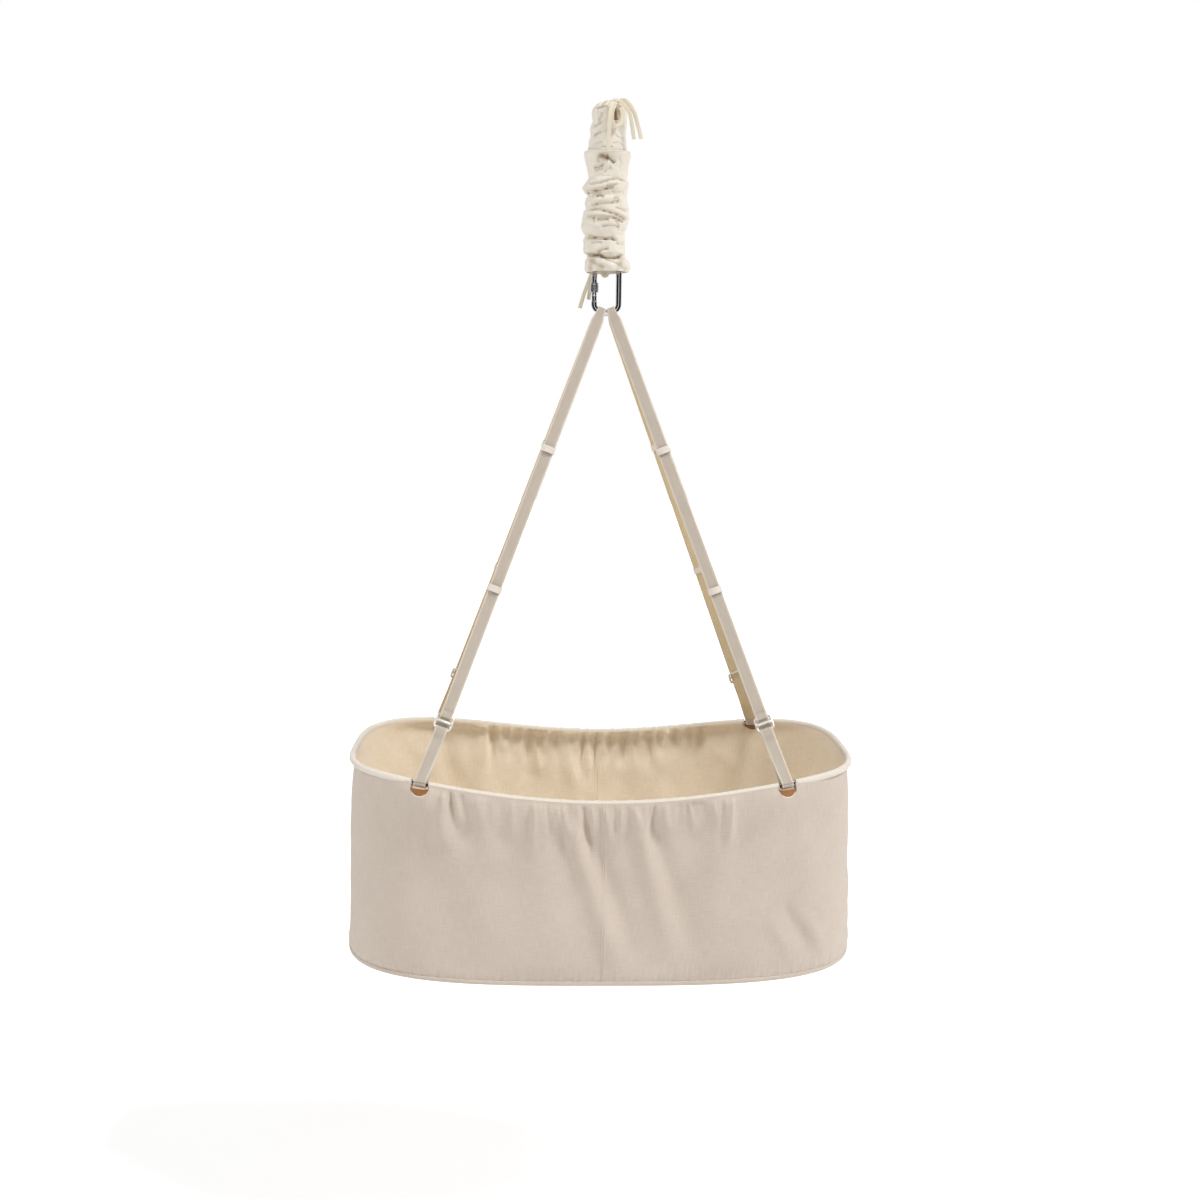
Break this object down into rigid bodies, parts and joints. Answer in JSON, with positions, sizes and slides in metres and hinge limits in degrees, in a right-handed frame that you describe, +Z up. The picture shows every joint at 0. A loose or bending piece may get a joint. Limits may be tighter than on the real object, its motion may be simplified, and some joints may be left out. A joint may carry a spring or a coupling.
{
  "type": "hanging baby cradle",
  "caption": "Soft-sided baby cradle with a stiff floor and mattress, hung by webbing slings from a screw-lock carabiner on a tension spring hidden in a gathered cotton sleeve.",
  "frame": {"origin": "the point inside the spring's upper eye that the ceiling hook bears on, so that the cradle hangs below it", "axes": "+Z up along the hanging line, +X along the basket's length to the right, -Y towards the side that the picture shows, where the carabiner's gate is on the left"},
  "size_m": [0.8597, 0.4676, 1.3971],
  "materials": {
    "spring_steel": "satin",
    "polished_steel": "polished",
    "slider_metal": "satin",
    "nylon_cord": "matte",
    "cotton": "matte",
    "cotton_tape": "matte",
    "webbing": "matte",
    "canvas": "matte",
    "quilted_cotton": "matte",
    "base_board": "matte"
  },
  "bodies": {
    "spring_top": {"spring_upper_eye": "spring_steel", "spring_coil": "spring_steel", "safety_cord": "nylon_cord", "sleeve_hood": "cotton", "spring_sleeve": "cotton", "drawstring_knot": "cotton_tape", "drawstring_bow": "cotton_tape", "drawstring_tail_left": "cotton_tape", "drawstring_tail_right": "cotton_tape", "drawstring_tail_short": "cotton_tape"},
    "spring_bottom": {"spring_lower_eye": "spring_steel", "sleeve_hem": "cotton", "tie_tape": "cotton_tape", "tie_tail_long": "cotton_tape", "tie_tail_short": "cotton_tape"},
    "carabiner": {"carabiner_body": "polished_steel", "gate_pin": "polished_steel"},
    "gate": {"carabiner_gate": "polished_steel", "gate_spring": "spring_steel"},
    "lock_nut": {"lock_nut": "polished_steel"},
    "cradle": {"sling_left": "webbing", "sling_right": "webbing", "strap_end_front_left": "webbing", "strap_end_front_right": "webbing", "strap_end_back_left": "webbing", "strap_end_back_right": "webbing", "keeper_low_front_left": "webbing", "keeper_low_front_right": "webbing", "keeper_low_back_left": "webbing", "keeper_low_back_right": "webbing", "keeper_high_front_left": "webbing", "keeper_high_front_right": "webbing", "keeper_high_back_left": "webbing", "keeper_high_back_right": "webbing", "rim_tube_front": "polished_steel", "rim_tube_back": "polished_steel", "rim_ferrule_left": "polished_steel", "rim_ferrule_right": "polished_steel", "hem_front": "canvas", "hem_back": "canvas", "hem_left": "canvas", "hem_right": "canvas", "wall_left": "canvas", "wall_right": "canvas", "bottom_panel": "canvas", "base_board": "base_board"},
    "slider_front_left": {"slider_front_left": "slider_metal"},
    "slider_front_right": {"slider_front_right": "slider_metal"},
    "slider_back_left": {"slider_back_left": "slider_metal"},
    "slider_back_right": {"slider_back_right": "slider_metal"},
    "mattress": {"mattress": "quilted_cotton"}
  },
  "joints": [
    {"name": "spring_stretch", "type": "slide", "parent": "spring_top", "child": "spring_bottom", "axis": [0, 0, -1], "range_m": [0, 0.2], "stiffness_N_per_m": 500, "springref_m": -0.09, "deforming": ["spring_coil", "safety_cord", "spring_sleeve"]},
    {"name": "carabiner_swing", "type": "hinge", "parent": "spring_bottom", "child": "carabiner", "pos_m": [0, 0, -0.2439], "axis": [0, 1, 0], "range_deg": [-15, 15]},
    {"name": "gate_open", "type": "hinge", "parent": "carabiner", "child": "gate", "pos_m": [-0.02, 0, -0.3062], "axis": [0, 1, 0], "range_deg": [0, 25], "stiffness_Nm_per_rad": 0.05, "springref_deg": -28.65},
    {"name": "lock_nut_travel", "type": "slide", "parent": "gate", "child": "lock_nut", "axis": [0, 0, 1], "range_m": [0, 0.02]},
    {"name": "cradle_swing", "type": "hinge", "parent": "carabiner", "child": "cradle", "pos_m": [0, 0, -0.327], "axis": [1, 0, 0], "range_deg": [-10, 10]},
    {"name": "slider_travel_front_left", "type": "slide", "parent": "cradle", "child": "slider_front_left", "axis": [0.3452, 0.2313, 0.9096], "range_m": [-0.03, 0.19], "deforming": ["strap_end_front_left"]},
    {"name": "slider_travel_front_right", "type": "slide", "parent": "cradle", "child": "slider_front_right", "axis": [-0.3452, 0.2313, 0.9096], "range_m": [-0.03, 0.19], "deforming": ["strap_end_front_right"]},
    {"name": "slider_travel_back_left", "type": "slide", "parent": "cradle", "child": "slider_back_left", "axis": [0.3452, -0.2313, 0.9096], "range_m": [-0.03, 0.19], "deforming": ["strap_end_back_left"]},
    {"name": "slider_travel_back_right", "type": "slide", "parent": "cradle", "child": "slider_back_right", "axis": [-0.3452, -0.2313, 0.9096], "range_m": [-0.03, 0.19], "deforming": ["strap_end_back_right"]},
    {"name": "mattress_lift", "type": "slide", "parent": "cradle", "child": "mattress", "axis": [0, 0, 1], "range_m": [0, 0.2]}
  ]
}
